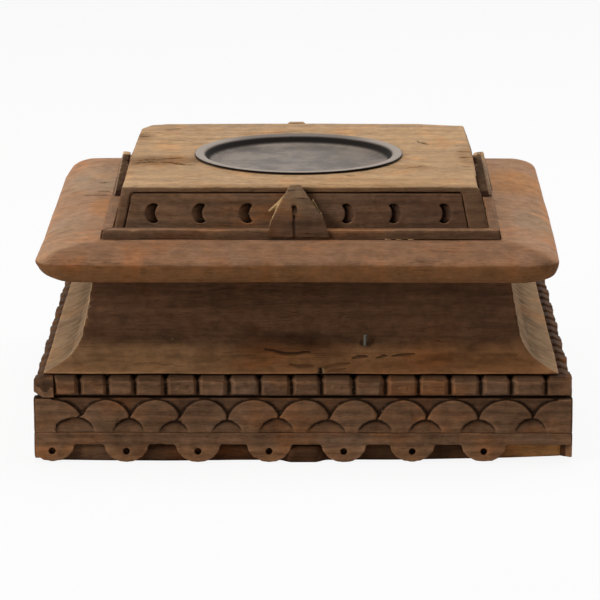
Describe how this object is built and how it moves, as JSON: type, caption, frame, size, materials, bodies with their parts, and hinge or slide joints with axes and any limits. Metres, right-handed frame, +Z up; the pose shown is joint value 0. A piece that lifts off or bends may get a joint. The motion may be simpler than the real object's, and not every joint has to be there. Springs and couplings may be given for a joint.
{
  "type": "carved wooden candle stand",
  "caption": "Square stepped candle stand of old carved wood with banded plinth, hollow-sided block, overhanging slab and a battered top holding a shallow lift-out metal dish.",
  "frame": {"origin": "middle of the underside of the plinth, on the surface that the stand rests on", "axes": "+Z up, -Y towards the front of the stand, +X to the right as seen from the front"},
  "size_m": [0.24, 0.24, 0.1184],
  "materials": {
    "plinth_wood": "old dark hardwood, carved, worn and dry",
    "cove_wood": "old dark hardwood, paler at the foot",
    "slab_wood": "weathered hardwood, greyed on the slopes",
    "top_wood": "rubbed bare honey-coloured hardwood",
    "panel_wood": "old dark hardwood, carved",
    "dowel_wood": "plain turned hardwood",
    "dish_metal": "dark matte sheet iron",
    "nail_metal": "dull old iron"
  },
  "bodies": {
    "stand": {"plinth_core": "plinth_wood", "pendant_strip_front": "plinth_wood", "pendant_strip_right": "plinth_wood", "pendant_strip_back": "plinth_wood", "pendant_strip_left": "plinth_wood", "scale_strip_front": "plinth_wood", "scale_strip_right": "plinth_wood", "scale_strip_back": "plinth_wood", "scale_strip_left": "plinth_wood", "stud_strip_front": "plinth_wood", "stud_strip_right": "plinth_wood", "stud_strip_back": "plinth_wood", "stud_strip_left": "plinth_wood", "cove_block": "cove_wood", "cove_nail": "nail_metal", "cap_slab": "slab_wood", "collar_front": "slab_wood", "collar_right": "slab_wood", "collar_back": "slab_wood", "collar_left": "slab_wood", "top_block": "top_wood", "crescent_panel_front": "panel_wood", "crescent_panel_right": "panel_wood", "crescent_panel_back": "panel_wood", "crescent_panel_left": "panel_wood", "gable_boss_front": "panel_wood", "gable_boss_right": "panel_wood", "gable_boss_back": "panel_wood", "gable_boss_left": "panel_wood", "lower_dowel_1": "dowel_wood", "lower_dowel_2": "dowel_wood", "lower_dowel_3": "dowel_wood", "lower_dowel_4": "dowel_wood", "middle_dowel_1": "dowel_wood", "middle_dowel_2": "dowel_wood", "middle_dowel_3": "dowel_wood", "middle_dowel_4": "dowel_wood", "upper_dowel_1": "dowel_wood", "upper_dowel_2": "dowel_wood", "upper_dowel_3": "dowel_wood", "upper_dowel_4": "dowel_wood"},
    "dish": {"candle_dish": "dish_metal"}
  },
  "joints": [
    {"name": "dish_lift", "type": "slide", "parent": "stand", "child": "dish", "axis": [0, 0, 1], "range_m": [0, 0.03]}
  ]
}
